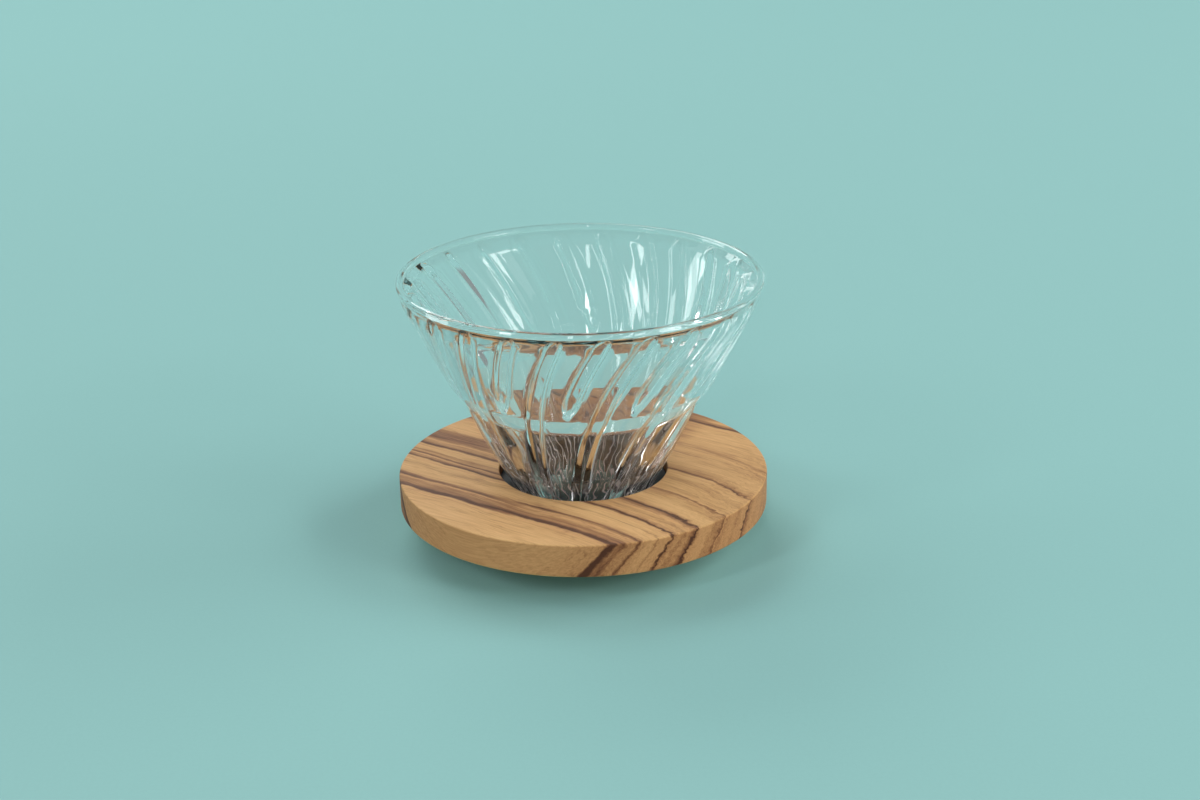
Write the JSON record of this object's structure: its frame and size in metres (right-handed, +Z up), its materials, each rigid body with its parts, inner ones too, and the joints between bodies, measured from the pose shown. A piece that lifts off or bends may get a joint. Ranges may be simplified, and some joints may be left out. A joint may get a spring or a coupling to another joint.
{
  "type": "pour-over coffee dripper",
  "caption": "Pour-over coffee dripper: a clear glass cone with spiral ribs and a bottom outlet, held by a silicone grommet in a round olive wood collar that rests on a mug or server.",
  "frame": {"origin": "on the axis of the cone, level with the foot of the glass that the dripper stands on", "axes": "+Z up along the axis of the cone, -Y towards the viewer of the picture, +X to the viewer's right"},
  "size_m": [0.12, 0.12, 0.0867],
  "materials": {
    "glass": "clear pressed heat-proof glass, fire-polished",
    "silicone": "matt black moulded silicone",
    "olive_wood": "turned olive wood, sanded and lightly oiled"
  },
  "bodies": {
    "collar": {"wooden_collar": "olive_wood", "silicone_grommet": "silicone"},
    "glass": {"glass_cone": "glass"}
  },
  "joints": [
    {"name": "glass_lift", "type": "slide", "parent": "collar", "child": "glass", "axis": [0, 0, 1], "range_m": [0, 0.04]}
  ]
}
